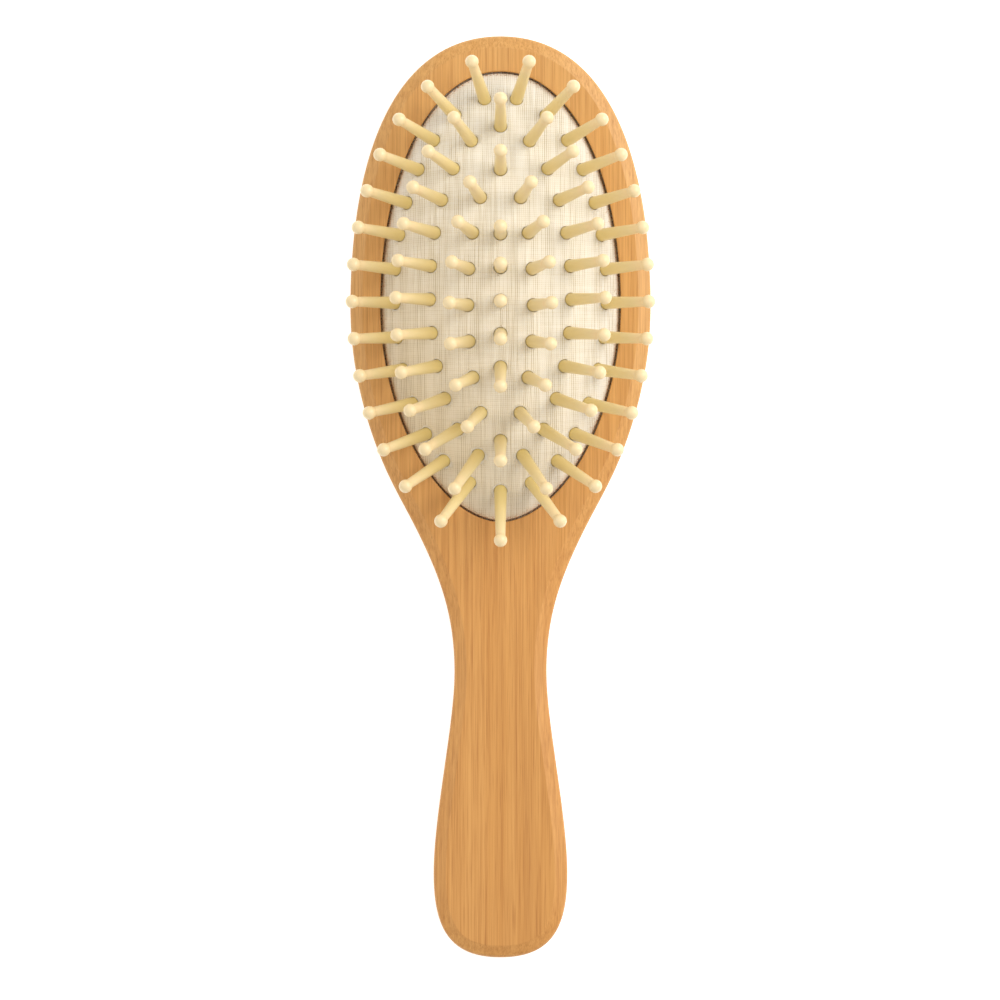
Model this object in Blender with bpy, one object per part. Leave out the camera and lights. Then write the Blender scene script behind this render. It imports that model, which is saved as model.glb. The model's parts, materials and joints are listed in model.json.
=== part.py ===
"""Wooden paddle brush: a beech body with a routed pocket, and an air-filled cushion with wooden pins.

Metres, +Z up. The brush lies on its flat back at Z = 0 with its pins up. +Y runs from the handle to the
head, and the origin is under the middle of the whole brush.
"""

import math

import bmesh
import bpy
from mathutils import Vector

MM = 0.001

# Wooden body
LENGTH = 230 * MM
THICKNESS = 14 * MM
HEAD_HALF_WIDTH = 37.5 * MM
SHOULDER_HALF_WIDTH = 25.8 * MM
NECK_HALF_WIDTH = 11.5 * MM
GRIP_HALF_WIDTH = 16.7 * MM
HEAD_Y = 47 * MM
SHOULDER_Y = 1 * MM
NECK_Y = -43.8 * MM
GRIP_Y = -94 * MM
SHOULDER_SLOPE = math.radians(28.3)
BACK_ROUND = 5 * MM
FRONT_ROUND = 3.3 * MM
FRONT_RIDGE = math.radians(20)  # the front round-over meets the flat face at this angle

# Pocket for the cushion: an oval mouth, and a wider chamber under its lip
CUSHION_Y = 46.8 * MM
MOUTH_HALF_WIDTH = 30 * MM
MOUTH_HALF_LENGTH = 56.2 * MM
HEAD_END = (2.1, 1.055)  # superellipse exponent and stretch of the half towards the head end
HANDLE_END = (1.86, 0.945)
LIP = 2.4 * MM
UNDERCUT = 2.2 * MM
POCKET_DEPTH = 7.4 * MM
GAP = 0.3 * MM

# Cushion: linen over a rubber diaphragm, both tucked under the lip above a split ring
RISE = 11 * MM  # from the edge of the dome to its crown
EDGE_BELOW_FACE = 1.4 * MM
DOME_POWER = 2.4
EDGE_CLEARANCE = 0.5 * MM
LINEN = 0.5 * MM
RUBBER = 1.5 * MM
FLANGE = 1.8 * MM  # how far the sheets reach under the lip
RING_THICKNESS = 1.8 * MM
RING_WIDTH = 4.2 * MM
RING_SPLIT = 3 * MM
VENT_RADIUS = 0.9 * MM
VENT_AT = (0.4 * MM, 97.6 * MM)

# Pins, along their own axis from the linen (0) to the tip
PIN_REACH = 19 * MM  # to the middle of the ball
BALL_RADIUS = 1.75 * MM
NECK_RADIUS = 1.1 * MM
BASE_RADIUS = 1.6 * MM
FOOT_RADIUS = 2.4 * MM
FOOT_TOP = -4.4 * MM
FOOT_BOTTOM = -5.2 * MM
HOLE_RADIUS = BASE_RADIUS + GAP
BORE_BELOW = 5.2 * MM
BORE_ABOVE = 3.5 * MM
TIE_WIDTH = 1.8 * MM
TIE_HEIGHT = 0.5 * MM

# Layout: three ovals of pins round a line of five, each leaning outwards, more so towards the handle
CROWN_Y = 48.6 * MM
CROWN_PITCH = 8.3 * MM
CROWN_LEANS = (3, 0.5, -2, -5, -15)  # degrees towards the head end
# name: (half width, half length, middle Y, count, first pin at the head end,
#        gap opposite the first pin, as a multiple of the others, lean in degrees, how much less it is at the head end,
#        fan: 2 leans a pin square to its oval, and a lower one more across the brush)
PIN_OVALS = {
    "inner": (8.2 * MM, 33.7 * MM, 47.5 * MM, 16, True, 1, 13, 2, 1.1),
    "middle": (17.6 * MM, 42.1 * MM, 50 * MM, 23, True, 1.5, 25, 7.5, 1.8),
    "outer": (26.3 * MM, 49.3 * MM, 50.4 * MM, 29, False, 1, 32.5, 6, 2.3),
}
OUTER_PER_NODE = 3

FACE = THICKNESS
EDGE_Z = FACE - EDGE_BELOW_FACE
DOME_HALF_WIDTH = MOUTH_HALF_WIDTH - EDGE_CLEARANCE
DOME_HALF_LENGTH = MOUTH_HALF_LENGTH - EDGE_CLEARANCE

OVAL_SIDES = 48
PIN_SIDES = 8
FINE = 720  # steps in which an oval's length is measured


def material(name, colour, roughness):
    made = bpy.data.materials.new(name)
    made.use_nodes = True
    shader = made.node_tree.nodes["Principled BSDF"]
    shader.inputs["Base Color"].default_value = (*colour, 1)
    shader.inputs["Roughness"].default_value = roughness
    shader.inputs["Metallic"].default_value = 0
    return made


def mesh_of(name, points, faces, finish):
    mesh = bpy.data.meshes.new(name)
    mesh.from_pydata([tuple(p) for p in points], [], faces)
    mesh.materials.append(finish)
    mesh.shade_smooth()
    mesh.set_sharp_from_angle(angle=math.radians(35))
    return mesh


def place(name, mesh, location=(0, 0, 0)):
    made = bpy.data.objects.new(name, mesh)
    bpy.context.scene.collection.objects.link(made)
    made.location = location
    return made


def as_helper(made):
    made.hide_render = True
    made.display_type = "WIRE"
    return made


def boolean(target, helper, operation):
    modifier = target.modifiers.new(helper.name, "BOOLEAN")
    modifier.operation = operation
    modifier.solver = "EXACT"
    modifier.object = as_helper(helper)


# Outlines


def bezier(start, start_handle, end_handle, end, count):
    """(point, tangent) pairs along a cubic curve, without its last point."""
    found = []
    for i in range(count):
        t = i / count
        u = 1 - t
        point = u**3 * start + 3 * u * u * t * start_handle + 3 * u * t * t * end_handle + t**3 * end
        slope = u * u * (start_handle - start) + 2 * u * t * (end_handle - start_handle)
        slope += t * t * (end - end_handle)
        found.append((point, slope.normalized()))
    return found


def body_outline():
    """The right half of the body's edge, from the head's top to the handle's end, as (point, tangent)."""
    down = Vector((0, -1))
    inwards = Vector((-math.sin(SHOULDER_SLOPE), -math.cos(SHOULDER_SLOPE)))
    # point, direction, handle before it, handle after it, points up to the next one
    stations = (
        (Vector((0, LENGTH / 2)), Vector((1, 0)), 0, 26 * MM, 11),
        (Vector((HEAD_HALF_WIDTH, HEAD_Y)), down, 39.6 * MM, 18.2 * MM, 6),
        (Vector((SHOULDER_HALF_WIDTH, SHOULDER_Y)), inwards, 12.1 * MM, 19.4 * MM, 8),
        (Vector((NECK_HALF_WIDTH, NECK_Y)), down, 17 * MM, 12.7 * MM, 7),
        (Vector((GRIP_HALF_WIDTH, GRIP_Y)), down, 14.7 * MM, 13.9 * MM, 9),
        (Vector((0, -LENGTH / 2)), Vector((-1, 0)), 12.7 * MM, 0, 0),
    )
    found = []
    for (a, a_way, _, a_out, count), (b, b_way, b_in, _, _) in zip(stations, stations[1:]):
        found += bezier(a, a + a_way * a_out, b - b_way * b_in, b, count)
    return [*found, (stations[-1][0], stations[-1][1])]


def inset_outline(edge, inset):
    """The whole edge, moved inwards by inset, clockwise from the head's top."""
    right = [point + Vector((way.y, -way.x)) * inset for point, way in edge]
    left = [Vector((-p.x, p.y)) for p in reversed(right[1:-1])]
    return right + left


def on_oval(half_width, half_length, angle):
    """A point of the cushion's oval: 0 is to the right, and a quarter turn is the head end."""
    across, along = math.cos(angle), math.sin(angle)
    fullness, stretch = HEAD_END if along > 0 else HANDLE_END
    return Vector(
        (
            half_width * math.copysign(abs(across) ** (2 / fullness), across),
            CUSHION_Y + half_length * stretch * math.copysign(abs(along) ** (2 / fullness), along),
        )
    )


def oval_ring(half_width, half_length, z, sides=OVAL_SIDES):
    turn = math.tau / sides
    return [(*on_oval(half_width, half_length, i * turn), z) for i in range(sides)]


def loft(rings, bottom, top):
    """Points and faces of rings joined from the bottom up. bottom and top are poles, or None for a flat cap."""
    count = len(rings[0])
    points = [p for ring in rings for p in ring]
    faces = []
    for row in range(len(rings) - 1):
        for i in range(count):
            a, b = row * count + i, row * count + (i + 1) % count
            faces.append((a, b, b + count, a + count))
    first, last = list(range(count)), list(range(len(points) - count, len(points)))
    for ring, pole, upwards in ((first, bottom, False), (last, top, True)):
        turned = ring if upwards else ring[::-1]
        if pole is None:
            faces.append(tuple(turned))
            continue
        points.append(pole)
        faces += [(turned[i], turned[(i + 1) % count], len(points) - 1) for i in range(count)]
    return points, faces


# Wooden body


def edge_profile():
    """(inset, height) up the body's edge: round back, upright wall, round front up to a soft ridge."""
    back = [
        (BACK_ROUND * (1 - math.sin(a)), BACK_ROUND * (1 - math.cos(a)))
        for a in (math.radians(d) for d in (0, 30, 60, 90))
    ]
    radius = FRONT_ROUND / (1 - math.sin(FRONT_RIDGE))
    depth = radius * math.cos(FRONT_RIDGE)
    front = [
        (radius * (1 - math.cos(a)), THICKNESS - depth + radius * math.sin(a))
        for a in (math.radians(d) for d in (0, 24, 48))
    ]
    return back + front + [(FRONT_ROUND, THICKNESS)]


def wooden_body(finish):
    edge = body_outline()
    rings = [
        [(p.x, p.y, height) for p in reversed(inset_outline(edge, inset))]
        for inset, height in edge_profile()
    ]
    body = place("wooden_body", mesh_of("wooden_body", *loft(rings, None, None), finish))
    for name, grown, low, high in (
        ("mouth_cutter", 0, FACE - LIP - MM, FACE + MM),
        ("chamber_cutter", UNDERCUT, FACE - POCKET_DEPTH, FACE - LIP),
    ):
        size = MOUTH_HALF_WIDTH + grown, MOUTH_HALF_LENGTH + grown
        shape = loft([oval_ring(*size, low), oval_ring(*size, high)], None, None)
        boolean(body, place(name, mesh_of(name, *shape, finish)), "DIFFERENCE")
    return body


def clamp_ring(finish):
    """A split oval ring that holds the sheets' flanges up against the lip."""
    low = FACE - POCKET_DEPTH + GAP
    outer, inner = UNDERCUT - GAP, UNDERCUT - GAP - RING_WIDTH
    rings = [
        oval_ring(MOUTH_HALF_WIDTH + side, MOUTH_HALF_LENGTH + side, z)
        for side, z in (
            (inner, low),
            (outer, low),
            (outer, low + RING_THICKNESS),
            (inner, low + RING_THICKNESS),
        )
    ]
    points, faces = loft([*rings, rings[0]], None, None)
    count = len(rings[0])
    sides = [tuple(i % (4 * count) for i in face) for face in faces[:-2]]
    ring = place("clamp_ring", mesh_of("clamp_ring", points[: 4 * count], sides, finish))
    half = RING_SPLIT / 2
    y = CUSHION_Y - MOUTH_HALF_LENGTH * HANDLE_END[1]
    ends = [
        [(sx * half, y + sy * RING_WIDTH * 1.5, z) for sx, sy in ((1, 1), (-1, 1), (-1, -1), (1, -1))]
        for z in (low - MM, low + RING_THICKNESS + MM)
    ]
    boolean(ring, place("split_cutter", mesh_of("split_cutter", *loft(ends, None, None), finish)), "DIFFERENCE")
    return ring


# Cushion


def dome_height(share):
    """Height of the linen's outside at a share of the way from the middle to the edge."""
    return EDGE_Z + RISE * (1 - share**DOME_POWER)


def share_at(x, y):
    """How far out a point lies, from 0 in the middle of the cushion to 1 at the dome's edge."""
    fullness, stretch = HEAD_END if y > CUSHION_Y else HANDLE_END
    across = abs(x) / DOME_HALF_WIDTH
    along = abs(y - CUSHION_Y) / DOME_HALF_LENGTH / stretch
    return (across**fullness + along**fullness) ** (1 / fullness)


def cushion_sheet(name, below, thickness, finish):
    """A domed sheet, below the linen's outside by that much, whose edge turns down and out under the lip."""
    shares = (0.28, 0.52, 0.74, 0.9, 1)
    flange_top = FACE - LIP - GAP - below
    reach = FLANGE + EDGE_CLEARANCE

    def ring(share, moved, z):
        return oval_ring(share * DOME_HALF_WIDTH + moved, share * DOME_HALF_LENGTH + moved, z)

    inside = [ring(s, -below - thickness, dome_height(s) - below - thickness) for s in shares]
    outside = [ring(s, -below, dome_height(s) - below) for s in reversed(shares)]
    rim = [
        ring(1, -below - thickness, flange_top - thickness),
        ring(1, reach, flange_top - thickness),
        ring(1, reach, flange_top),
        ring(1, -below, flange_top),
    ]
    crown = dome_height(0) - below
    middle = (0, CUSHION_Y)
    points, faces = loft([*inside, *rim, *outside], (*middle, crown - thickness), (*middle, crown))
    return place(name, mesh_of(name, points, faces, finish))


def cut_holes(sheet, pins, finish):
    """A round hole along each pin, and the vent, made as one cutter."""
    turn = math.tau / PIN_SIDES
    points, faces = [], []
    vent_foot = Vector((*VENT_AT, FACE + EDGE_BELOW_FACE))
    bores = [(pin.base, pin.way, HOLE_RADIUS) for pin in pins]
    bores.append((vent_foot, Vector((0, 0, 1)), VENT_RADIUS))
    for base, way, radius in bores:
        turned = way.to_track_quat("Z", "Y")
        rings = [
            [
                base + turned @ Vector((radius * math.cos(i * turn), radius * math.sin(i * turn), z))
                for i in range(PIN_SIDES)
            ]
            for z in (-BORE_BELOW, BORE_ABOVE)
        ]
        bore_points, bore_faces = loft(rings, None, None)
        faces += [tuple(len(points) + i for i in face) for face in bore_faces]
        points += bore_points
    name = sheet.name + "_hole_cutter"
    boolean(sheet, place(name, mesh_of(name, points, faces, finish)), "DIFFERENCE")


# Pins


class Pin:
    """Where a pin leaves the linen, and which way it leans."""

    def __init__(self, x, y, outwards, lean):
        self.base = Vector((x, y, dome_height(share_at(x, y))))
        self.way = Vector((*(outwards * math.sin(lean)), math.cos(lean)))

    def foot(self):
        return self.base + self.way * (FOOT_TOP + FOOT_BOTTOM) / 2


def evenly_round(half_width, half_length, middle_y, count, from_head_end, far_gap):
    """Points spaced by length round an ellipse, clockwise from its head end or its handle end.

    All gaps are alike, except that the one opposite the start is far_gap times as long.
    """
    start = math.tau / 4 if from_head_end else -math.tau / 4
    angles = [start - math.tau * i / FINE for i in range(FINE + 1)]
    track = [Vector((half_width * math.cos(a), middle_y + half_length * math.sin(a))) for a in angles]
    run = [0]
    for a, b in zip(track, track[1:]):
        run.append(run[-1] + (b - a).length)
    found, at = [], 0
    step = run[-1] / (count - 1 + far_gap)
    for i in range(count):
        target = i * step if i <= count // 2 else run[-1] - (count - i) * step
        while run[at + 1] < target:
            at += 1
        found.append(track[at].lerp(track[at + 1], (target - run[at]) / (run[at + 1] - run[at])))
    return found


def oval_pins(half_width, half_length, middle_y, count, from_head_end, far_gap, lean, less, fan):
    found = []
    for point in evenly_round(half_width, half_length, middle_y, count, from_head_end, far_gap):
        outwards = Vector((point.x / half_width**fan, (point.y - middle_y) / half_length**fan))
        outwards.normalize()
        found.append(Pin(point.x, point.y, outwards, math.radians(lean - less * outwards.y)))
    return found


def crown_pins():
    head_end = CROWN_Y + CROWN_PITCH * (len(CROWN_LEANS) - 1) / 2
    return [
        Pin(0, head_end - i * CROWN_PITCH, Vector((0, 1)), math.radians(lean))
        for i, lean in enumerate(CROWN_LEANS)
    ]


def pin_mesh(finish):
    """A turned pin standing on the origin: a flat foot, a tapered shaft and a ball tip."""
    neck_height = PIN_REACH - math.sqrt(BALL_RADIUS**2 - NECK_RADIUS**2)
    diagonal = BALL_RADIUS * math.sqrt(0.5)
    profile = (
        (FOOT_RADIUS, FOOT_BOTTOM),
        (FOOT_RADIUS, FOOT_TOP),
        (BASE_RADIUS, FOOT_TOP),
        (NECK_RADIUS, neck_height),
        (BALL_RADIUS, PIN_REACH),
        (diagonal, PIN_REACH + diagonal),
    )
    turn = math.tau / PIN_SIDES
    rings = [
        [(radius * math.cos(i * turn), radius * math.sin(i * turn), z) for i in range(PIN_SIDES)]
        for radius, z in profile
    ]
    return mesh_of("pin", *loft(rings, None, (0, 0, PIN_REACH + BALL_RADIUS)), finish)


def stand(name, mesh, pin):
    """A copy of the pin on its base, leaning its way."""
    made = place(name, mesh, pin.base)
    made.rotation_mode = "QUATERNION"
    made.rotation_quaternion = pin.way.to_track_quat("Z", "Y")
    return made


def tie(name, a, b, finish):
    """The strip that runs from one foot to the next."""
    along = b.foot() - a.foot()
    up = (a.way + b.way).normalized()
    across = along.cross(up).normalized() * TIE_WIDTH / 2
    rise = across.cross(along).normalized() * TIE_HEIGHT / 2
    rings = [
        [a.foot() + end + sx * across + sz * rise for sx, sz in ((-1, -1), (1, -1), (1, 1), (-1, 1))]
        for end in (Vector(), along)
    ]
    points, faces = loft(rings, None, None)
    mesh = mesh_of(name, points, faces, finish)
    outwards = bmesh.new()
    outwards.from_mesh(mesh)
    bmesh.ops.recalc_face_normals(outwards, faces=outwards.faces)
    outwards.to_mesh(mesh)
    outwards.free()
    return place(name, mesh)


def tied_pins(name, mesh, pins, finish):
    """Neighbouring pins whose feet a strip ties together, as one body."""
    middle = pins[len(pins) // 2]
    group = stand(name, mesh, middle)
    for i, pin in enumerate(pins):
        if pin is not middle:
            boolean(group, stand(f"{name}_more_{i}", mesh, pin), "UNION")
        if i:
            boolean(group, tie(f"{name}_tie_{i}", pins[i - 1], pin, finish), "UNION")
    return group


def outer_groups(pins):
    """The outer pins in threes from the handle end, alike on both sides, and the last two at the head end."""
    count, size = len(pins), OUTER_PER_NODE
    groups = [[pins[-1], pins[0], pins[1]]]
    for first in range(2, count // 2 - size + 1, size):
        groups.append(pins[first : first + size])
        groups.append([pins[-i] for i in range(first, first + size)])
    groups.append(pins[count // 2 : count // 2 + 2])
    return groups


def main():
    for old in list(bpy.data.objects):
        bpy.data.objects.remove(old)
    beech = material("oiled_beech", (0.66, 0.38, 0.15), 0.5)
    linen = material("linen", (0.86, 0.78, 0.65), 0.95)
    rubber = material("natural_rubber", (0.62, 0.45, 0.25), 0.7)
    cane = material("cane", (0.6, 0.42, 0.2), 0.6)
    birch = material("birch", (0.9, 0.74, 0.43), 0.5)

    wooden_body(beech)
    clamp_ring(cane)
    crown = crown_pins()
    ovals = {name: oval_pins(*size) for name, size in PIN_OVALS.items()}
    every_pin = crown + [pin for ring in ovals.values() for pin in ring]
    cover = cushion_sheet("linen_cover", 0, LINEN, linen)
    diaphragm = cushion_sheet("rubber_diaphragm", LINEN + GAP, RUBBER, rubber)
    for sheet in (cover, diaphragm):
        cut_holes(sheet, every_pin, rubber)

    mesh = pin_mesh(birch)
    for i, pin in enumerate(crown, 1):
        stand(f"pin_crown_{i}", mesh, pin)
    for ring in ("inner", "middle"):
        for i, pin in enumerate(ovals[ring], 1):
            stand(f"pin_{ring}_{i:02d}", mesh, pin)
    for i, pins in enumerate(outer_groups(ovals["outer"]), 1):
        tied_pins(f"pins_outer_{i:02d}", mesh, pins, birch)


main()
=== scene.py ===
# %% [markdown]
# # A wooden paddle brush
#
# The brush is one piece of oiled wood with an oval pocket. A sheet of ribbed linen, domed by the
# air behind it, closes the pocket, and 73 turned pins with ball tips fan out of it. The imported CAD
# model is the fixed frame: every piece below takes its place and size from it, so nothing has to be
# fitted by eye.

# %% The frame and its units
import json
import math

import bpy
import numpy as np
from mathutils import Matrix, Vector

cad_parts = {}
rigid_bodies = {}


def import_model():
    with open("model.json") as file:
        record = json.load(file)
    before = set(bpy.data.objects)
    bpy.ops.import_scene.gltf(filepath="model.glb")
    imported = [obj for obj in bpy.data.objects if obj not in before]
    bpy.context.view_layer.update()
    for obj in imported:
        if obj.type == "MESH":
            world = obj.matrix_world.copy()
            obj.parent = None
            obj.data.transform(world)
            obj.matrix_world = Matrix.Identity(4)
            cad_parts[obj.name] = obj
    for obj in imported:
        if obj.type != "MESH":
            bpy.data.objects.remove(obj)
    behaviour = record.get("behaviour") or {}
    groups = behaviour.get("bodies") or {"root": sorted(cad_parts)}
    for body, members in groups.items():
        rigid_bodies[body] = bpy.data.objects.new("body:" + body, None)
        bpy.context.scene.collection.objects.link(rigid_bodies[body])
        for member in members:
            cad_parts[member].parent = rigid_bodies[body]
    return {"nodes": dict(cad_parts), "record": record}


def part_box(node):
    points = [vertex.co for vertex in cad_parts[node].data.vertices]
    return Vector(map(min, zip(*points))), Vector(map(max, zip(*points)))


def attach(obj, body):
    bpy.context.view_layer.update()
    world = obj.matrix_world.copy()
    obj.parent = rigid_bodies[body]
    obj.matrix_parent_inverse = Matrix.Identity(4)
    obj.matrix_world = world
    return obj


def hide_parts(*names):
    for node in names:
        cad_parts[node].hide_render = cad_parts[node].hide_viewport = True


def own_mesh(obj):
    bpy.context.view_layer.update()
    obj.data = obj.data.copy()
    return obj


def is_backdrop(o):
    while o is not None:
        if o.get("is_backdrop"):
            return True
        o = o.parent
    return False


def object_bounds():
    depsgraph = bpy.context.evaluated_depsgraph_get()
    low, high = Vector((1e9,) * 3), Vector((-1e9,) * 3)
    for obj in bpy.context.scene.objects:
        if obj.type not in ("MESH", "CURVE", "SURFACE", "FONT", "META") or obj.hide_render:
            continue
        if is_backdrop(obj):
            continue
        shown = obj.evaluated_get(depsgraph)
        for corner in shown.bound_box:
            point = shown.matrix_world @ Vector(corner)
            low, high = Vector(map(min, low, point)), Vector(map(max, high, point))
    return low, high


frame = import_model()
cad_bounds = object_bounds()
MM = 0.001
RNG = np.random.default_rng(73)
print("CAD box in mm:", np.round(np.array(cad_bounds) / MM, 1).tolist())

# %% [markdown]
# Colours are easiest to think of as the hex values of a paint program, but a shader wants light, which
# adds up linearly. One function turns the first into the second. Another adds a shader node and joins
# it up, so that each material reads as a short recipe.


# %% Colour and shader helpers
def colour(code):
    """sRGB hex to linear light: each channel is divided by 12.92 near black, and raised to 2.4 above."""
    parts = np.array([int(code[i : i + 2], 16) for i in (0, 2, 4)]) / 255
    linear = np.where(parts <= 0.04045, parts / 12.92, ((parts + 0.055) / 1.055) ** 2.4)
    return (*linear.tolist(), 1)


def add(tree, kind, inputs=None, stops=(), **settings):
    """Adds a node. Each input is a value, or another node's output to link to. stops are a colour
    ramp's (position, hex) pairs."""
    made = tree.nodes.new(kind)
    for name, value in settings.items():
        setattr(made, name, value)
    for i, (position, code) in enumerate(stops):
        ramp = made.color_ramp.elements
        stop = ramp[i] if i < 2 else ramp.new(1)
        stop.position, stop.color = position, colour(code)
    for name, value in (inputs or {}).items():
        if isinstance(value, bpy.types.NodeSocket):
            tree.links.new(value, made.inputs[name])
        else:
            made.inputs[name].default_value = value
    return made


def new_material(name, **shader_values):
    """A material, its node tree and its Principled shader, with the plain values set on its sockets."""
    made = bpy.data.materials.new(name)
    made.use_nodes = True
    shader = made.node_tree.nodes["Principled BSDF"]
    for socket, value in shader_values.items():
        shader.inputs[socket.replace("_", " ")].default_value = value
    return made, made.node_tree, shader


# %% [markdown]
# A shape that runs round and round, such as a turned pin or the edge of the brush, is a grid of points:
# its rows are closed rings, one above the other. This function joins such a grid into a skin. A ring at
# either end is closed by one flat face or by a single point in its middle.


# %% From a grid of rings to a mesh
def ring_faces(rows, count):
    """Quads between neighbouring rings: point i of a ring joins i + 1, and the last joins the first."""
    row, i = np.meshgrid(np.arange(rows - 1), np.arange(count), indexing="ij")
    a, b = row * count + i, row * count + (i + 1) % count
    return np.stack([a, b, b + count, a + count], axis=-1).reshape(-1, 4)


def skin(name, points, faces):
    """A smooth-shaded mesh object from an array of points and lists of corners."""
    mesh = bpy.data.meshes.new(name)
    mesh.from_pydata(points.tolist(), [], [list(f) for f in faces])
    mesh.shade_smooth()
    made = bpy.data.objects.new(name, mesh)
    bpy.context.scene.collection.objects.link(made)
    return made


def finish_piece(piece, material, body, slot, *nodes):
    """The piece gets its material, rides on a body and stands for the CAD nodes."""
    piece.data.materials.append(material)
    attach(piece, body)
    if nodes:
        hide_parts(*nodes)


def unique_points(node):
    """A CAD node's corners, each once."""
    mesh = frame["nodes"][node].data
    found = np.empty(len(mesh.vertices) * 3, np.float32)
    mesh.vertices.foreach_get("co", found)
    return np.unique(np.round(found.reshape(-1, 3).astype(float), 6), axis=0)


# %% [markdown]
# ## The outline of the brush and of its pocket
#
# The CAD body is faceted. Its corners on the upright wall are true points of the outline, and its
# corners round the mouth of the pocket are true points of the oval. A periodic cubic spline through
# each set gives back the smooth curve: it passes through every point, and its bend never jumps.


# %% A smooth closed curve through points
def in_order(points):
    """Points sorted anticlockwise round the origin. All of either outline can be seen from there."""
    return points[np.argsort(np.arctan2(points[:, 1], points[:, 0]))]


def closed_spline(points, count):
    """count points of the periodic cubic spline: the second derivatives m solve the tridiagonal system
    h0 m0 + 2 (h0 + h1) m1 + h1 m2 = 6 (slope1 - slope0), with h the chord lengths."""
    step = np.linalg.norm(np.roll(points, -1, axis=0) - points, axis=1)
    slope = (np.roll(points, -1, axis=0) - points) / step[:, None]
    before = np.roll(step, 1)
    n = len(points)
    system = np.diag(2 * (before + step))
    system[np.arange(n), np.arange(n) - 1] += before
    system[np.arange(n), (np.arange(n) + 1) % n] += step
    bend = np.linalg.solve(system, 6 * (slope - np.roll(slope, 1, axis=0)))
    knots = np.concatenate([[0], np.cumsum(step)])
    at = np.linspace(0, knots[-1], count, endpoint=False)
    i = np.searchsorted(knots, at, side="right") - 1
    u, h, j = (at - knots[i])[:, None], step[i][:, None], (i + 1) % n
    a, b = bend[i], bend[j]
    rate = slope[i] - h * (2 * a + b) / 6
    return points[i] + rate * u + a * u**2 / 2 + (b - a) * u**3 / (6 * h)


def outward(curve):
    """Unit normals of a closed anticlockwise curve: its direction, turned a quarter to the right."""
    along = np.roll(curve, -1, axis=0) - np.roll(curve, 1, axis=0)
    along /= np.linalg.norm(along, axis=1)[:, None]
    return np.column_stack([along[:, 1], -along[:, 0]])


def on_level(points, height):
    """The corners at one height, seen from above."""
    return points[np.isclose(points[:, 2], height, atol=1e-5)][:, :2]


body_points = unique_points("wooden_body")
FACE = float(body_points[:, 2].max())
LIP, POCKET_DEPTH, UNDERCUT = 2.4 * MM, 7.4 * MM, 2.2 * MM
BACK_ROUND, FRONT_ROUND, RIDGE, FACET = 5 * MM, 1.3 * MM, 3.1 * MM, math.radians(25)
BACK_INSET, FACE_INSET = 5.5 * MM, 3.9 * MM
edge_corners = in_order(on_level(body_points, BACK_ROUND))
face_corners, lip_corners = on_level(body_points, FACE), on_level(body_points, FACE - LIP)
to_lip = np.linalg.norm(face_corners[:, None] - lip_corners[None], axis=2).min(axis=1)
mouth_corners = in_order(face_corners[to_lip < 2e-5])
edge = closed_spline(edge_corners, 480)
mouth = closed_spline(mouth_corners, 960)
print(len(edge_corners), "corners round the body,", len(mouth_corners), "round the mouth")


# %% [markdown]
# ## The wooden body
#
# Head, neck and handle are one piece of wood, cut to the outline and then rounded along its edges: a
# full round at the back, and at the front a small round, then a flat facet up to a soft ridge. It
# could be made with a Bevel on an extruded outline, but a bevel pinches at the narrow neck. Here the
# surface is a grid instead. Its rows are copies of the outline moved in by the edge's profile, then
# copies of the mouth that go down through the lip, out into the undercut, and down to the pocket's
# floor.


# %% The edge's profile and the body's rows
def follow_mouth(points):
    """The mouth's points in the same directions from the origin, so that rows never cross."""
    known, wanted = np.arctan2(mouth[:, 1], mouth[:, 0]), np.arctan2(points[:, 1], points[:, 0])
    reach = np.interp(wanted, known, np.linalg.norm(mouth, axis=1), period=math.tau)
    return np.column_stack([reach * np.cos(wanted), reach * np.sin(wanted)])


def rows_at(curve, profile):
    """Rings for each (distance moved out, height): the curve plus the distance times its normal."""
    moved = curve[None] + profile[:, :1, None] * outward(curve)[None]
    heights = np.broadcast_to(profile[:, 1, None, None], (*moved.shape[:2], 1))
    return np.concatenate([moved, heights], axis=2)


turn = np.linspace(0, math.pi / 2, 9)
back = BACK_ROUND * np.column_stack([np.sin(turn) - 1, 1 - np.cos(turn)])
turn = np.linspace(0, math.pi / 2 - FACET, 8)
front = FRONT_ROUND * np.column_stack([np.cos(turn) - 1, np.sin(turn) - math.cos(FACET)])
run = np.array([0.02, 0.5, 0.95, 1.0]) * (RIDGE + front[-1, 0])
front = np.vstack([front, np.column_stack([front[-1, 0] - run, math.tan(FACET) * run])])
front[:, 1] += FACE - front[-1, 1]
level = np.array([(-RIDGE - 0.06 * MM, FACE), (-FACE_INSET, FACE)])
outside = np.vstack([[[-BACK_INSET, 0]], back, front, level])
down = np.array([(0.6, 0), (0.3, 0), (0.1, -0.04), (0.02, -0.14), (0, -0.3), (0, 0.2), (0, 0)]) * MM
down[-2:, 1] -= LIP
under = np.array([(0.3, 0), (-0.2, 0), (0, -0.2), (0, 0.2), (-0.2, 0), (-0.6, 0)]) * MM
under[1:, 0] += UNDERCUT
under[:3, 1] -= LIP
under[3:, 1] -= POCKET_DEPTH
inside = np.vstack([down, under]) + [0, FACE]
face_edge = edge - FACE_INSET * outward(edge)
rings = np.vstack([rows_at(edge, outside), rows_at(follow_mouth(face_edge), inside)])
count = len(edge)
last = np.arange(count) + (len(rings) - 1) * count
walls = ring_faces(len(rings), count)
body_faces = [*walls.tolist(), np.arange(count)[::-1].tolist(), last.tolist()]
brush_body = skin("brush_body_beech", rings.reshape(-1, 3), body_faces)
print("wooden body:", len(rings), "rings of", count)


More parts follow.
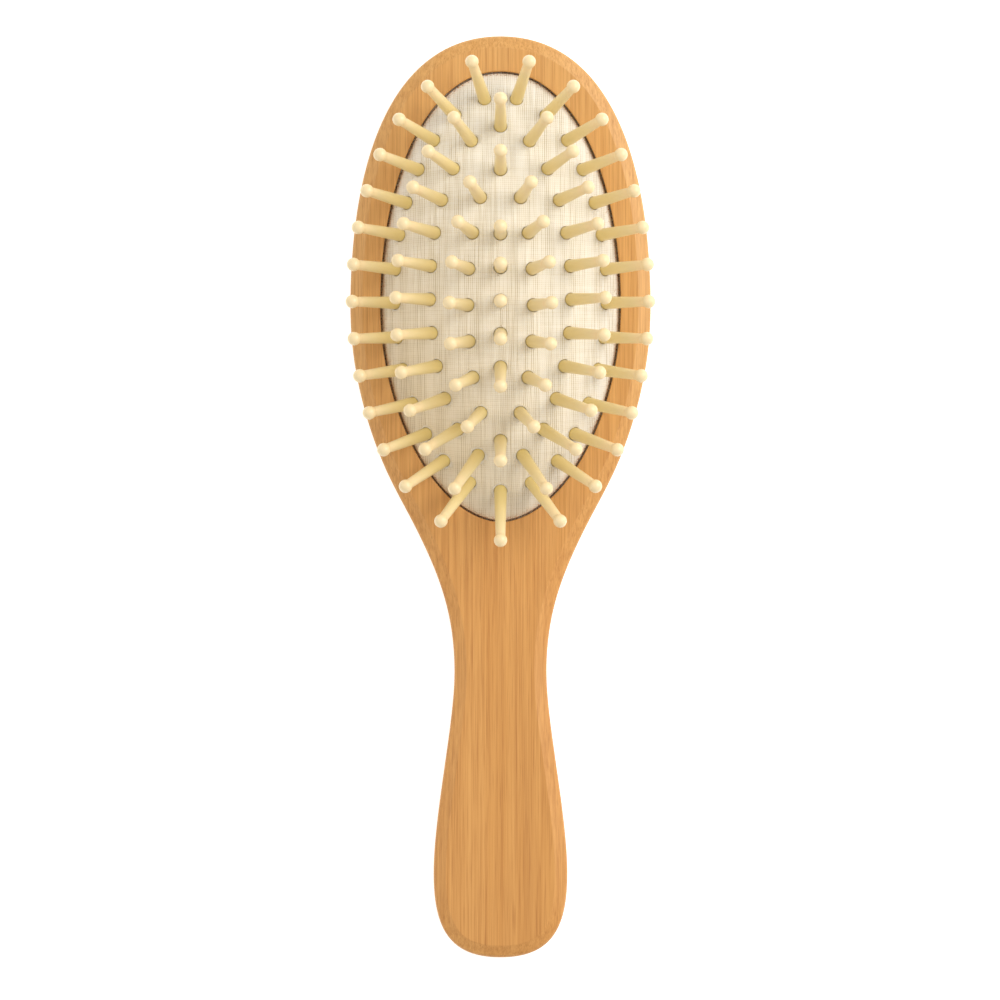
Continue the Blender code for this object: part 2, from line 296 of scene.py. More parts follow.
# %% [markdown]
# Beech is a pale wood that oil turns honey brown. Its grain runs along the handle: soft bands a few
# millimetres wide where the year rings come to the surface, finer streaks inside them, and the thin
# dark flecks that tell beech from other woods, about a fifth of a millimetre wide. Painted light makes
# the head end a little lighter, as if lit from the top, and so the handle a little redder. Each grain
# pattern is noise stretched along Y, so they run on over the rounded edges as they do in solid wood.


# %% Oiled beech
def stretched_noise(tree, place, across, along, **more):
    """Noise whose grains are about across wide and along long, in metres, with the long way on Y."""
    scale = (1 / across, 1 / along, 1 / across)
    moved = add(tree, "ShaderNodeMapping", {"Vector": place, "Scale": scale})
    return add(tree, "ShaderNodeTexNoise", {"Vector": moved.outputs[0], "Scale": 1.0, **more}).outputs[0]


def laid_over(tree, first, layers):
    """A colour multiplied by others in turn. Each (colour, share) acts by its share."""
    for colours, share in layers:
        inputs = {0: share, 6: first, 7: colours}
        settings = {"data_type": "RGBA", "blend_type": "MULTIPLY"}
        first = add(tree, "ShaderNodeMix", inputs, **settings).outputs[2]
    return first


beech, tree, shader = new_material("beech_oiled", Roughness=0.5, IOR=1.5)
place = add(tree, "ShaderNodeTexCoord").outputs["Object"]
bands = stretched_noise(tree, place, 5 * MM, 120 * MM, Detail=3.0, Distortion=0.6)
streaks = stretched_noise(tree, place, 0.6 * MM, 60 * MM, Detail=4.0, Roughness=0.7)
flecks = stretched_noise(tree, place, 0.22 * MM, 12 * MM, Detail=1.0)
stops = [(0.3, "D7A05A"), (0.72, "DEAA66")]
warm = add(tree, "ShaderNodeValToRGB", {"Fac": bands}, stops=stops).outputs[0]
stops = [(0.3, "D4C2AA"), (0.62, "FFFFFF")]
fine = add(tree, "ShaderNodeValToRGB", {"Fac": streaks}, stops=stops).outputs[0]
stops = [(0.3, "C0A486"), (0.46, "FFFFFF")]
dots = add(tree, "ShaderNodeValToRGB", {"Fac": flecks}, stops=stops).outputs[0]
# Painted light: the head end is lighter, as if lit from the top, and the neck and handle are a little
# redder and darker.
height = add(tree, "ShaderNodeSeparateXYZ", {"Vector": place}).outputs["Y"]
up_brush = add(tree, "ShaderNodeMath", {0: height, 1: 4.0, 2: 0.5}, operation="MULTIPLY_ADD")
stops = [(0.42, "FFF3E2"), (0.62, "FFFFFF")]
painted_light_to_head = add(tree, "ShaderNodeValToRGB", {"Fac": up_brush.outputs[0]}, stops=stops).outputs[0]
oiled = laid_over(tree, warm, [(fine, 0.7), (dots, 0.35), (painted_light_to_head, 1.0)])
tree.links.new(oiled, shader.inputs["Base Color"])
height = add(tree, "ShaderNodeMath", {0: streaks, 1: flecks}, operation="ADD")
inputs = {"Height": height.outputs[0], "Strength": 0.25, "Distance": 0.05 * MM}
bump = add(tree, "ShaderNodeBump", inputs)
tree.links.new(bump.outputs[0], shader.inputs["Normal"])
finish_piece(brush_body, beech, "brush_body", "beech", "wooden_body")


# %% [markdown]
# ## The pins
#
# Each pin is turned in a lathe: a flat foot that stops it from pulling out, a shaft that tapers, and a
# ball. Its axis comes from its CAD node: the foot's lowest ring lies round one end of the axis, and the
# ball's rings lie round the other. Outer pins come in threes, so corners are first shared out by ball.


# %% Where every pin stands
cover_low, cover_high = np.array(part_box("linen_cover"))
CENTRE, CROWN = (cover_low[:2] + cover_high[:2]) / 2, cover_high[2]
REACH, BALL, NECK, BASE = 19 * MM, 1.68 * MM, 1.2 * MM, 1.7 * MM
FOOT, FOOT_TOP, FOOT_UNDER = 2.4 * MM, -4.4 * MM, -5.2 * MM


def pin_axes(node):
    """(base, direction) of each pin of a node: base is where its axis meets the linen."""
    points = unique_points(node)
    middle = (points[:, 2].min() + points[:, 2].max()) / 2
    tips, low = points[points[:, 2] > middle], points[points[:, 2] < middle]
    balls = []
    while len(tips):
        near = np.linalg.norm(tips - tips[0], axis=1) < 4.5 * MM
        balls.append(tips[near].mean(axis=0))
        tips = tips[~near]
    away = np.linalg.norm(low[:, None] - np.array(balls)[None], axis=2)
    found = []
    for i, ball in enumerate(balls):
        own = low[away.argmin(axis=1) == i]
        reach = away[away.argmin(axis=1) == i, i]
        foot = own[reach > reach.max() - 0.06 * MM].mean(axis=0)
        way = (ball - foot) / np.linalg.norm(ball - foot)
        found.append((foot - way * FOOT_UNDER, way))
    return found


pin_nodes = {name: pin_axes(name) for name in sorted(frame["nodes"]) if name.startswith("pin")}
all_pins = [pin for pins in pin_nodes.values() for pin in pins]
leans = np.degrees([math.acos(way[2]) for _, way in all_pins])
print(len(pin_nodes), "nodes hold", len(all_pins), "pins")
print("they lean by", leans.min().round(1), "to", leans.max().round(1), "degrees")


# %% [markdown]
# The ball and the shaft would meet in a hard ring if one simply ended at the other. Adding their radii
# as eighth powers and taking the eighth root gives almost exactly the larger of the two, with a small
# fillet in the corner, as the turner's knife leaves it.


# %% A turned pin
def pin_profile():
    """(height, radius) from the middle of the foot's underside to the tip."""
    round_off = 0.2 * MM
    under = [(FOOT_UNDER, 0.6 * MM), (FOOT_UNDER, FOOT - round_off), (FOOT_UNDER + round_off, FOOT)]
    over = [(FOOT_TOP - round_off, FOOT), (FOOT_TOP, FOOT - round_off), (FOOT_TOP, BASE + round_off)]
    turn = np.radians(np.linspace(-84, 86, 15))
    shaft = np.linspace(FOOT_TOP + 0.2 * MM, REACH - 2.1 * MM, 12)
    at = np.concatenate([shaft, REACH + BALL * np.sin(turn)])
    taper = np.interp(at, (FOOT_TOP, REACH - 1.2 * MM, REACH), (BASE, NECK, 0))
    ball = np.sqrt(np.maximum(BALL**2 - (at - REACH) ** 2, 0))
    return np.vstack([under, over, np.column_stack([at, (taper**8 + ball**8) ** (1 / 8)])])


PROFILE, PIN_SIDES = pin_profile(), 20


def square_to(way):
    """Two unit vectors across a direction."""
    first = np.cross(way, (0.0, 1.0, 0.0) if abs(way[1]) < 0.9 else (1.0, 0.0, 0.0))
    first /= np.linalg.norm(first)
    return first, np.cross(way, first)


def turned(base, way, profile, sides):
    """The profile's rings round an axis: base + height * way + radius * (cos, sin) across it."""
    turn = np.arange(sides) * math.tau / sides
    first, second = square_to(way)
    across = np.cos(turn)[:, None] * first + np.sin(turn)[:, None] * second
    return (base + profile[:, :1] * way)[:, None] + profile[:, 1:, None] * across[None]


def closed_tube(rings, first_index=0):
    """Faces of a stack of rings with a flat cap at each end, counted from first_index."""
    rows, count = rings.shape[:2]
    sides = ring_faces(rows, count) + first_index
    ends = np.arange(count) + first_index
    return [*sides.tolist(), ends[::-1].tolist(), (ends + (rows - 1) * count).tolist()]


def tape(start, end, rise, width=1.8 * MM, thick=0.5 * MM):
    """A strip's rings from one foot to the next. Its section is a superellipse:
    (sign cos) |cos|^0.4 across and (sign sin) |sin|^0.4 up."""
    way = (end - start) / np.linalg.norm(end - start)
    side = np.cross(rise, way)
    side /= np.linalg.norm(side)
    turn = (np.arange(12) + 0.5) * math.tau / 12
    wide = np.sign(np.cos(turn)) * np.abs(np.cos(turn)) ** 0.4 * width / 2
    high = np.sign(np.sin(turn)) * np.abs(np.sin(turn)) ** 0.4 * thick / 2
    section = wide[:, None] * side + high[:, None] * np.cross(way, side)
    steps = np.linspace(0, 1, 4)[:, None, None]
    return start + steps * (end - start) + section[None]


# %% The pins' pieces, one for each CAD node
def float_attribute(piece, name, values):
    """Stores one number per point, for the material to read."""
    made = piece.data.attributes.new(name, "FLOAT", "POINT")
    made.data.foreach_set("value", np.asarray(values, np.float32))


def pin_piece(node, pins):
    """A node's pins and the strips between their feet. The attribute along is 0 at the linen and 1 at
    the ball's middle, and tone is a number of its own for each pin."""
    points, faces, along, tone, total = [], [], [], [], 0
    for base, way in pins:
        rings = turned(base, way, PROFILE, PIN_SIDES)
        faces += closed_tube(rings, total)
        points.append(rings.reshape(-1, 3))
        along.append(np.repeat(PROFILE[:, 0] / REACH, PIN_SIDES))
        tone.append(np.full(rings[..., 0].size, RNG.random()))
        total += rings[..., 0].size
    bases = np.array([base[:2] for base, _ in pins])
    outwards = bases.mean(axis=0) - CENTRE
    order = np.argsort((bases - CENTRE) @ [-outwards[1], outwards[0]])
    for i, j in zip(order, order[1:]):
        feet = [pins[k][0] + pins[k][1] * (FOOT_TOP + FOOT_UNDER) / 2 for k in (i, j)]
        rings = tape(*feet, pins[i][1] + pins[j][1])
        faces += closed_tube(rings, total)
        points.append(rings.reshape(-1, 3))
        along.append(np.zeros(rings[..., 0].size))
        tone.append(np.full(rings[..., 0].size, 0.5))
        total += rings[..., 0].size
    piece = skin(f"{node}_birch", np.vstack(points), faces)
    float_attribute(piece, "along", np.concatenate(along))
    float_attribute(piece, "tone", np.concatenate(tone))
    return piece


bodies = frame["record"]["behaviour"]["bodies"]
body_of = {node: body for body, nodes in bodies.items() for node in nodes}
pin_pieces = {node: pin_piece(node, pins) for node, pins in pin_nodes.items()}
pin_points = sum(len(piece.data.vertices) for piece in pin_pieces.values())
print(len(pin_pieces), "pin pieces,", pin_points, "points")


# %% [markdown]
# The pins are birch, fine grained and almost white, with a thin coat of clear varnish. A pin is olive
# yellow at its foot and grows paler towards its ball, following the attribute along. Noise stretched
# along the pin's own length would need an axis of its own for each pin, so the grain here is only a
# faint mottle.


# %% Varnished birch
birch, tree, shader = new_material("birch_varnished", Roughness=0.38, IOR=1.5, Coat_Weight=0.15)
along = add(tree, "ShaderNodeAttribute", attribute_name="along").outputs["Fac"]
tone = add(tree, "ShaderNodeAttribute", attribute_name="tone").outputs["Fac"]
place = add(tree, "ShaderNodeTexCoord").outputs["Object"]
mottle = add(tree, "ShaderNodeTexNoise", {"Vector": place, "Scale": 1 / (1.6 * MM), "Detail": 2.0})
shift = add(tree, "ShaderNodeMath", {0: mottle.outputs[0], 1: tone}, operation="ADD")
moved = add(tree, "ShaderNodeMath", {0: shift.outputs[0], 1: 0.12, 2: along}, operation="MULTIPLY_ADD")
stops = [(0.1, "E3CD84"), (0.5, "EBD699"), (0.85, "EDD9A6"), (1.0, "F2DAAB")]
down_pin = add(tree, "ShaderNodeValToRGB", {"Fac": moved.outputs[0]}, stops=stops)
tree.links.new(down_pin.outputs[0], shader.inputs["Base Color"])
inputs = {"Height": mottle.outputs[0], "Strength": 0.15, "Distance": 0.05 * MM}
bump = add(tree, "ShaderNodeBump", inputs)
tree.links.new(bump.outputs[0], shader.inputs["Normal"])
for node, piece in pin_pieces.items():
    finish_piece(piece, birch, body_of[node], "birch", node)


# %% [markdown]
# ## The cushion
#
# The linen is stretched over a rubber diaphragm, and air behind it swells both into a dome that rises
# steeply from the mouth and flattens towards the crown. At the mouth the cloth turns down, goes out
# under the lip of the wood, and is held there. A disc of rings round the centre follows this well: one
# profile from the crown to the hidden edge, stretched to the mouth's reach in each direction.


# %% The dome's surface
EDGE_HEIGHT, CLEARANCE, POWER = FACE - 1.4 * MM, 0.5 * MM, 2.4


def reach_to_edge(angle):
    """How far the dome's edge is from its centre in a direction: the mouth's reach less a small gap."""
    rim = mouth - CLEARANCE * outward(mouth) - CENTRE
    known = np.arctan2(rim[:, 1], rim[:, 0])
    return np.interp(angle, known, np.linalg.norm(rim, axis=1), period=math.tau)


def dome_height(share):
    """The edge's height, plus the rise times 1 - share ** 2.4, where share is 0 at the crown."""
    return EDGE_HEIGHT + (CROWN - EDGE_HEIGHT) * (1 - np.minimum(share, 1) ** POWER)


def dome_rings(rows, count, sink=0.0):
    """(rings, flat): the dome from the crown out and under the lip, and the same rings laid flat, each
    as far from the centre as the surface is long."""
    share = (np.arange(rows) + 0.35) / (rows - 1 + 0.35)
    turn_down = [(0, -0.3), (0.05, -0.7), (0.2, -1.1), (0.5, -1.4), (0.9, -1.55)]
    hem = np.array([*turn_down, (1.6, -1.6), (2.3, -1.6)]) * MM
    angle = np.arange(count) * math.tau / count
    reach = reach_to_edge(angle)
    out = np.vstack([share[:, None] * reach, reach + hem[:, :1]])
    high = np.concatenate([dome_height(share), EDGE_HEIGHT + hem[:, 1]])
    step = np.hypot(np.diff(out, axis=0), np.diff(high)[:, None])
    flat = out[0] + np.vstack([np.zeros(count), np.cumsum(step, axis=0)])
    way = np.column_stack([np.cos(angle), np.sin(angle)])
    rings = np.empty((len(high), count, 3))
    rings[..., :2] = CENTRE + out[..., None] * way
    rings[..., 2] = high[:, None] - sink
    return rings, flat[..., None] * way


def disc_faces(rows, count):
    """A grid of rings whose first ring closes on one point, the last in the list. Faces look up."""
    quads = ring_faces(rows, count)[:, ::-1]
    i = np.arange(count)
    fan = np.column_stack([i, (i + 1) % count, np.full(count, rows * count)])
    return [*quads.tolist(), *fan.tolist()]


def dome_sheet(name, rows, count, sink=0.0):
    """The dome as an open sheet, with the flat cloth's coordinates."""
    rings, flat = dome_rings(rows, count, sink)
    crown = [[*CENTRE, CROWN - sink]]
    points = np.vstack([rings.reshape(-1, 3), crown])
    faces = disc_faces(len(rings), count)
    return skin(name, points, faces), points, np.vstack([flat.reshape(-1, 2), [[0, 0]]])


LINEN_ROUND = 256
linen, linen_points, linen_flat = dome_sheet("cushion_linen", 64, LINEN_ROUND)
print("linen:", len(linen_points), "points")


# %% [markdown]
# Air presses on the cloth everywhere, but it can't move where the lip holds it or where a pin's foot
# holds it from below. So it swells very slightly between the pins and draws in at each one. That is a
# job for Blender's Cloth: pressure from inside, gravity off, and those points pinned. The solver works
# best on things of about a metre, so a copy 20 times too large is simulated, and the movement that it
# finds is scaled back and capped before it reaches the sheet.


# %% Swelling the linen with air
def settled(points, faces, held, enlarge=20, frames=20):
    """Where the cloth's points come to rest, from a simulation of an enlarged copy."""
    trial = skin("trial", points * enlarge, faces)
    group = trial.vertex_groups.new(name="held")
    group.add(np.flatnonzero(held).tolist(), 1.0, "REPLACE")
    cloth = trial.modifiers.new("Cloth", "CLOTH")
    cloth.settings.vertex_group_mass = "held"
    cloth.settings.quality = 6
    cloth.settings.use_pressure = True
    cloth.settings.uniform_pressure_force = 6
    cloth.settings.effector_weights.gravity = 0
    cloth.collision_settings.use_collision = False
    cloth.point_cache.frame_end = frames
    for step in range(1, frames + 1):
        bpy.context.scene.frame_set(step)
    shape = trial.evaluated_get(bpy.context.evaluated_depsgraph_get()).data
    found = np.empty(len(points) * 3, np.float32)
    shape.vertices.foreach_get("co", found)
    mesh = trial.data
    bpy.data.objects.remove(trial)
    bpy.data.meshes.remove(mesh)
    bpy.context.scene.frame_set(1)
    return found.reshape(-1, 3) / enlarge


def from_axes(points):
    """How far each point is from the nearest pin's axis."""
    nearest = np.full(len(points), np.inf)
    for base, way in all_pins:
        offset = points - base
        side = offset - (offset @ way)[:, None] * way
        nearest = np.minimum(nearest, np.linalg.norm(side, axis=1))
    return nearest


SWELL_CAP = 0.4 * MM
near_pin = from_axes(linen_points) < FOOT
held = near_pin | (linen_points[:, 2] < EDGE_HEIGHT + 1e-6)
faces = disc_faces(len(linen_points) // LINEN_ROUND, LINEN_ROUND)
moved = settled(linen_points, faces, held) - linen_points
size = np.linalg.norm(moved, axis=1)
moved *= (SWELL_CAP * np.tanh(size / SWELL_CAP) / np.maximum(size, 1e-9))[:, None]
linen_points = linen_points + moved
linen.data.vertices.foreach_set("co", linen_points.astype(np.float32).ravel())
linen.data.update()
print("the linen swelled by up to", (size.max() / MM).round(3), "mm, capped at", SWELL_CAP / MM)


# %% [markdown]
# The linen's flat coordinates go into an attribute, so that its threads stay the same distance apart
# on the steep sides. Then the sheet gets its thickness, and one Boolean with 73 thin rods and the vent's
# rod cuts every hole at once. The rubber below is the same dome, half a millimetre lower, and its
# holes are a little wider, so that it can flatten without catching on the leaning pins.


# %% Holes for the pins and the vent
VENT, VENT_RADIUS = np.array([0.4 * MM, 97.6 * MM, EDGE_HEIGHT]), 0.9 * MM


def rods(name, radius, sides=24):
    """One mesh of round rods along all the pins' axes, and one upright at the vent."""
    along_pin = np.array([(-4 * MM, radius), (3.5 * MM, radius)])
    upright = np.array([(-8 * MM, VENT_RADIUS), (8 * MM, VENT_RADIUS)])
    places = [(base, way, along_pin) for base, way in all_pins]
    places.append((VENT, np.array([0.0, 0.0, 1.0]), upright))
    points, faces, total = [], [], 0
    for base, way, ends in places:
        rings = turned(base, way, ends, sides)
        faces += closed_tube(rings, total)
        points.append(rings.reshape(-1, 3))
        total += rings[..., 0].size
    return skin(name, np.vstack(points), faces)


def apply_modifiers(piece):
    """Makes the mesh what its modifiers show, and takes them off."""
    graph = bpy.context.evaluated_depsgraph_get()
    mesh = bpy.data.meshes.new_from_object(
        piece.evaluated_get(graph), preserve_all_data_layers=True, depsgraph=graph
    )
    piece.modifiers.clear()
    piece.data = mesh


def thicken_and_pierce(piece, thickness, cutters):
    """Gives the sheet its thickness, inwards, and takes the rods out of it."""
    wall = piece.modifiers.new("Wall", "SOLIDIFY")
    wall.thickness, wall.offset, wall.use_even_offset = thickness, -1, False
    apply_modifiers(piece)
    cut = piece.modifiers.new("Holes", "BOOLEAN")
    cut.operation, cut.solver, cut.object = "DIFFERENCE", "EXACT", cutters
    apply_modifiers(piece)
    piece.data.set_sharp_from_angle(angle=math.radians(50))
    print(piece.name, "has", len(piece.data.polygons), "faces after its holes")


offset = linen_points[:, :2] - CENTRE
share = np.linalg.norm(offset, axis=1) / reach_to_edge(np.arctan2(offset[:, 1], offset[:, 0]))
float_attribute(linen, "rim", np.clip((share - 0.93) / 0.07, 0, 1))
on_cloth = np.column_stack([linen_flat, np.zeros(len(linen_flat))]).astype(np.float32)
flat = linen.data.attributes.new("flat", "FLOAT_VECTOR", "POINT")
flat.data.foreach_set("vector", on_cloth.ravel())
rubber, *_ = dome_sheet("cushion_rubber", 32, 96, sink=0.55 * MM)
walls = ((linen, 0.5 * MM, 0.03 * MM), (rubber, 1.2 * MM, 0.25 * MM))
for piece, thickness, gap in walls:
    cutters = rods("pin_rods", BASE + gap)
    thicken_and_pierce(piece, thickness, cutters)
    bpy.data.objects.remove(cutters)


# %% [markdown]
# Linen is spun from flax, which is never even: some threads are thick, some thin, some a little grey.
# Here the warp runs along the brush and stands out as ribs half a millimetre apart, and the fainter
# weft crosses it. Each is a sine across the flat cloth, one turn for each rib, and noise stretched
# along the threads makes some of them darker than their neighbours. Where the edge rubs on the lip,
# the cloth has dark specks.


# %% Ribbed linen
THREAD = 0.5 * MM
cloth, tree, shader = new_material(
    "linen_ribbed", Roughness=0.85, IOR=1.45, Sheen_Weight=0.15, Specular_IOR_Level=0.2
)
flat_at = add(tree, "ShaderNodeAttribute", attribute_name="flat").outputs["Vector"]
wander = add(tree, "ShaderNodeTexNoise", {"Vector": flat_at, "Scale": 1 / (9 * MM), "Detail": 1.0})
wobble = add(
    tree,
    "ShaderNodeVectorMath",
    {0: wander.outputs["Color"], 1: (0.5, 0.5, 0.5)},
    operation="SUBTRACT",
)
bent = add(
    tree,
    "ShaderNodeVectorMath",
    {0: wobble.outputs[0], 1: (0.5 * MM, 0.3 * MM, 0), 2: flat_at},
    operation="MULTIPLY_ADD",
).outputs[0]
axes = add(tree, "ShaderNodeSeparateXYZ", {"Vector": bent})


def thread_wave(across, pitch):
    """sin(2 pi x / pitch), lifted to run from 0 to 1."""
    turns = add(tree, "ShaderNodeMath", {0: across, 1: math.tau / pitch}, operation="MULTIPLY")
    wave = add(tree, "ShaderNodeMath", {0: turns.outputs[0]}, operation="SINE").outputs[0]
    return add(tree, "ShaderNodeMath", {0: wave, 1: 0.5, 2: 0.5}, operation="MULTIPLY_ADD").outputs[0]


warp = thread_wave(axes.outputs["X"], THREAD)
weft = thread_wave(axes.outputs["Y"], THREAD)
warp_tone = stretched_noise(tree, flat_at, 0.5 * MM, 14 * MM, Detail=1.0)
clusters = stretched_noise(tree, flat_at, 2.2 * MM, 60 * MM, Detail=2.0)
weft_tone = stretched_noise(tree, flat_at, 9 * MM, 0.6 * MM, Detail=1.0)


def darker(wave, tone):
    """A wave times how dark this noise makes its threads."""
    depth = add(tree, "ShaderNodeValToRGB", {"Fac": tone}, stops=[(0.28, "303030"), (0.58, "FFFFFF")])
    inputs = {0: wave, 1: depth.outputs[0]}
    return add(tree, "ShaderNodeMath", inputs, operation="MULTIPLY").outputs[0]


WEFT_SHARE = 0.28
ribs, cross_threads = darker(darker(warp, warp_tone), clusters), darker(weft, weft_tone)
inputs = {0: cross_threads, 1: WEFT_SHARE, 2: ribs}
crossing = add(tree, "ShaderNodeMath", inputs, operation="MULTIPLY_ADD").outputs[0]
stops = [(0.0, "FCF9F4"), (0.3, "F5F0E6"), (1.0, "D3C8B2")]
yarn = add(tree, "ShaderNodeValToRGB", {"Fac": crossing}, stops=stops)
rim = add(tree, "ShaderNodeAttribute", attribute_name="rim").outputs["Fac"]
lint = add(tree, "ShaderNodeTexNoise", {"Vector": flat_at, "Scale": 1 / (0.5 * MM), "Detail": 2.0})
worn = add(tree, "ShaderNodeMath", {0: lint.outputs[0], 1: rim}, operation="MULTIPLY")
stops = [(0.5, "000000"), (0.62, "FFFFFF")]
speck = add(tree, "ShaderNodeValToRGB", {"Fac": worn.outputs[0]}, stops=stops)
edged = add(tree, "ShaderNodeMix", data_type="RGBA")
edged.inputs[7].default_value = colour("B98D6E")
tree.links.new(speck.outputs[0], edged.inputs[0])
# Painted shade: the cloth is darker and yellower towards the lower left, away from the key lamp, with a
# warm bounce painted in, and a little greyer at the upper right, which dims its lit side.
place_x, place_y = axes.outputs["X"], axes.outputs["Y"]
to_left = add(tree, "ShaderNodeMath", {0: place_x, 1: -6.0, 2: 0.5}, operation="MULTIPLY_ADD")
inputs = {0: place_y, 1: -4.0, 2: to_left.outputs[0]}
painted_shade_slope = add(tree, "ShaderNodeMath", inputs, operation="MULTIPLY_ADD")
stops = [(0.15, "EDEAE3"), (0.42, "FDFCF9"), (0.55, "FDFAF4"), (0.85, "ECDDBF")]
painted_shade_tint = add(tree, "ShaderNodeValToRGB", {"Fac": painted_shade_slope.outputs[0]}, stops=stops).outputs[0]
tree.links.new(laid_over(tree, yarn.outputs[0], [(painted_shade_tint, 1.0)]), edged.inputs[6])
tree.links.new(edged.outputs[2], shader.inputs["Base Color"])
relief = add(tree, "ShaderNodeMath", {0: warp, 1: weft}, operation="ADD")
inputs = {"Height": relief.outputs[0], "Strength": 0.4, "Distance": 0.08 * MM}
bump = add(tree, "ShaderNodeBump", inputs)
tree.links.new(bump.outputs[0], shader.inputs["Normal"])
finish_piece(linen, cloth, "brush_body", "linen", "linen_cover")


# %% [markdown]
# The diaphragm is natural rubber, moulded and a little dusty, and shows only as a dark line round a
# pin. The ring in the undercut is split cane, bent round while it was wet.


# %% Rubber and cane
latex, tree, shader = new_material("natural_rubber_moulded", Roughness=0.7, IOR=1.52)
place = add(tree, "ShaderNodeTexCoord").outputs["Object"]
bloom = add(tree, "ShaderNodeTexNoise", {"Vector": place, "Scale": 1 / (6 * MM), "Detail": 4.0})
stops = [(0.3, "7A5632"), (0.7, "96704A")]
dusty = add(tree, "ShaderNodeValToRGB", {"Fac": bloom.outputs[0]}, stops=stops)
tree.links.new(dusty.outputs[0], shader.inputs["Base Color"])
finish_piece(rubber, latex, "brush_body", "rubber", "rubber_diaphragm")

cane, tree, shader = new_material("cane_split", Roughness=0.5, IOR=1.5)
place = add(tree, "ShaderNodeTexCoord").outputs["Object"]
fibres = add(tree, "ShaderNodeTexNoise", {"Vector": place, "Scale": 1 / (0.6 * MM), "Detail": 3.0})
straw = add(
    tree, "ShaderNodeValToRGB", {"Fac": fibres.outputs[0]}, stops=[(0.3, "A9834B"), (0.7, "CDAA6C")]
)
tree.links.new(straw.outputs[0], shader.inputs["Base Color"])
frame["nodes"]["clamp_ring"].material_slots[0].material = cane


# %% [markdown]
# The cut edge of the linen is never clean. Short ends of the weft stick out into the gap, most of them
# at the two sides, where the weft runs straight at the lip. Each end is a bent hair of three small
# rings, and all of them are worked out at once as one array.


# %% Frayed ends
def frayed_ends(count=260):
    """Rings of every hair: from just inside the dome's edge, out along X, and up or down a little."""
    side = RNG.choice([0.0, math.pi], count)
    angle = side + RNG.normal(0, 0.55, count)
    reach = reach_to_edge(angle)
    out = np.column_stack([np.cos(angle), np.sin(angle)])
    share = RNG.uniform(0.955, 0.992, count)
    foot = CENTRE + (share * reach)[:, None] * out
    start = np.column_stack([foot, dome_height(share) - 0.06 * MM])
    way = np.column_stack([out, np.zeros(count)])
    way[:, 0] += 0.7 * np.sign(way[:, 0])
    way[:, 1] += RNG.normal(0, 0.35, count)
    way /= np.linalg.norm(way, axis=1)[:, None]
    length = RNG.uniform(0.35, 1.0, count)[:, None] * MM
    droop = np.column_stack([np.zeros((count, 2)), RNG.uniform(-0.3, 0.15, count) * MM])
    path = start[:, None] + np.array([0, 0.5, 1])[None, :, None] * (way * length)[:, None]
    path += np.array([0, 0.3, 1.0])[None, :, None] * droop[:, None]
    turn = (np.arange(3) * math.tau / 3)[None, :, None]
    aside = np.column_stack([-way[:, 1], way[:, 0], way[:, 2]])[:, None]
    ring = np.cos(turn) * aside + np.sin(turn) * np.array([0, 0, 1.0])
    width = np.array([0.055, 0.05, 0.03])[None, :, None, None] * MM
    return path[:, :, None] + width * ring[:, None]


hairs = frayed_ends()
one_hair = closed_tube(hairs[0])
own, caps = np.array(one_hair[:6]), np.array(one_hair[6:])
steps = (np.arange(len(hairs)) * 9)[:, None, None]
hair_faces = [*(own + steps).reshape(-1, 4).tolist(), *(caps + steps).reshape(-1, 3).tolist()]
fray = skin("linen_frayed_ends", hairs.reshape(-1, 3), hair_faces)
flax, tree, shader = new_material("flax_fibre", Roughness=0.8, IOR=1.45)
place = add(tree, "ShaderNodeTexCoord").outputs["Object"]
flax_noise = add(tree, "ShaderNodeTexNoise", {"Vector": place, "Scale": 1 / (1.5 * MM)})
stops = [(0.35, "C9A684"), (0.6, "EADBC0")]
tint = add(tree, "ShaderNodeValToRGB", {"Fac": flax_noise.outputs[0]}, stops=stops)
tree.links.new(tint.outputs[0], shader.inputs["Base Color"])
finish_piece(fray, flax, "brush_body", "linen")


# %% [markdown]
# When the cushion is pressed, its crown sinks 4 of its 11 mm. Here both sheets only get meshes
# of their own. This comes last, once their meshes are final.


# %% Meshes of their own for the cushion's sheets
for sheet in (linen, rubber):
    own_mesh(sheet)


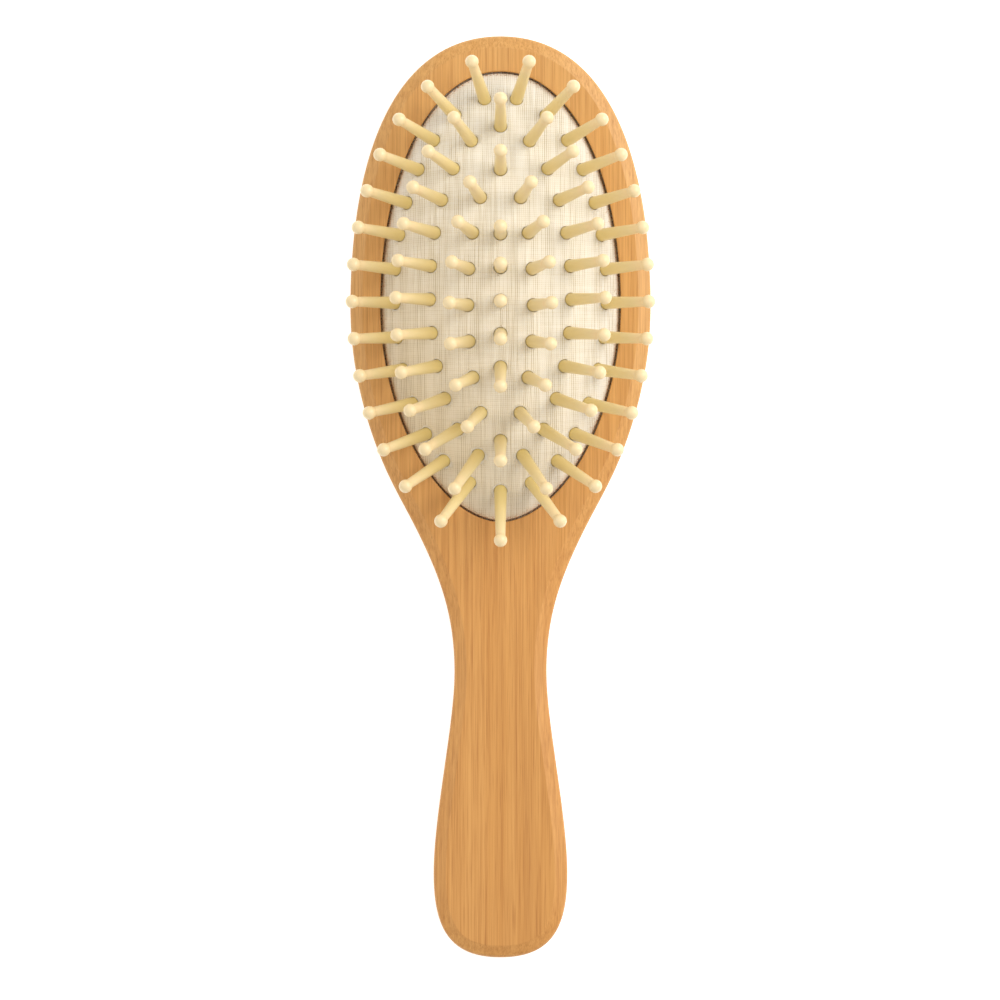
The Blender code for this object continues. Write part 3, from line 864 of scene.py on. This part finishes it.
# %% [markdown]
# ## Floor, light and camera
#
# The brush lies on its back on a sheet of white opal that glows a little, as on a light table, so that
# it casts no hard shadow. A large soft lamp stands at the upper right and a weaker one at the left.
# The camera looks straight down from 1.5 m with a long lens, which keeps the pins from spreading.


# %% The stage
def panel(name, half, z):
    """A square, 2 * half wide, facing up."""
    corners = np.array([(-half, -half, z), (half, -half, z), (half, half, z), (-half, half, z)])
    return skin(name, corners, [[0, 1, 2, 3]])


floor = panel("floor", 1.5, -0.0002)
opal, tree, shader = new_material("opal_acrylic_lit", Roughness=0.6)
shader.inputs["Base Color"].default_value = colour("F4F4F2")
shader.inputs["Emission Color"].default_value = colour("FFFFFF")
shader.inputs["Emission Strength"].default_value = 0.6
floor.data.materials.append(opal)
floor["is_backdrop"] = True


def soft_lamp(name, place, size, power, tint):
    """A square area lamp that looks at the middle of the brush."""
    data = bpy.data.lights.new(name, "AREA")
    data.size, data.energy, data.color = size, power, colour(tint)[:3]
    made = bpy.data.objects.new(name, data)
    bpy.context.scene.collection.objects.link(made)
    made.location = place
    look = Vector((0, 0.03, 0.01)) - made.location
    made.rotation_euler = look.to_track_quat("-Z", "Y").to_euler()


soft_lamp("key_upper_right", (0.62, 0.36, 0.6), 0.7, 6.4, "FFFDF8")
soft_lamp("fill_left", (-0.6, 0.1, 0.6), 0.8, 1.5, "FFFAF0")
world = bpy.data.worlds.new("soft_room")
world.use_nodes = True
world.node_tree.nodes["Background"].inputs["Color"].default_value = colour("FFFFFF")
world.node_tree.nodes["Background"].inputs["Strength"].default_value = 0.6
bpy.context.scene.world = world
bpy.context.scene.view_settings.view_transform = "Standard"

camera = bpy.data.objects.new("camera", bpy.data.cameras.new("camera"))
bpy.context.scene.collection.objects.link(camera)
camera.location = (-0.125 * MM, -0.8 * MM, FACE + 1.5)
camera.data.sensor_width, camera.data.lens = 36, 216.6
bpy.context.scene.camera = camera

# %% Sizes, and the end
sizes = {"cad": [list(c) for c in cad_bounds], "visual": [list(c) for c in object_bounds()]}
for name, box in sizes.items():
    print(name, "box in mm:", np.round(np.array(box) / MM, 2).tolist())
